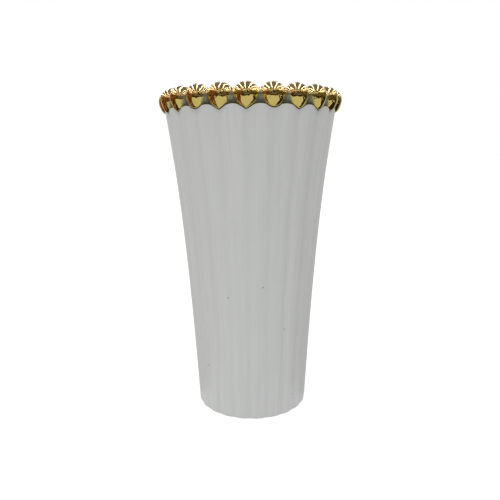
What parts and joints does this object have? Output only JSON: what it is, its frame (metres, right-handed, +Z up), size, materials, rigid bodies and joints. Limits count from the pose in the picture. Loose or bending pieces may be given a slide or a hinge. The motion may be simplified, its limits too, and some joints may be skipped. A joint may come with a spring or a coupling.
{
  "type": "fluted vase",
  "caption": "Tall flaring ribbed porcelain vase with a scalloped lip and a ring of mirror-gilt beads set along it.",
  "frame": {"origin": "middle of the foot, on the surface the vase stands on", "axes": "+Z up along the vase's own axis; a valley between two ribs and the first bead face -Y"},
  "size_m": [0.1656, 0.1674, 0.3],
  "materials": {
    "porcelain_glaze": "soft gloss white glaze",
    "gold_lustre": "mirror-bright gold lustre over glazed porcelain"
  },
  "bodies": {
    "root": {"vase_body": "porcelain_glaze", "rim_bead_01": "gold_lustre", "rim_bead_02": "gold_lustre", "rim_bead_03": "gold_lustre", "rim_bead_04": "gold_lustre", "rim_bead_05": "gold_lustre", "rim_bead_06": "gold_lustre", "rim_bead_07": "gold_lustre", "rim_bead_08": "gold_lustre", "rim_bead_09": "gold_lustre", "rim_bead_10": "gold_lustre", "rim_bead_11": "gold_lustre", "rim_bead_12": "gold_lustre", "rim_bead_13": "gold_lustre", "rim_bead_14": "gold_lustre", "rim_bead_15": "gold_lustre", "rim_bead_16": "gold_lustre", "rim_bead_17": "gold_lustre", "rim_bead_18": "gold_lustre", "rim_bead_19": "gold_lustre", "rim_bead_20": "gold_lustre", "rim_bead_21": "gold_lustre", "rim_bead_22": "gold_lustre"}
  },
  "joints": []
}
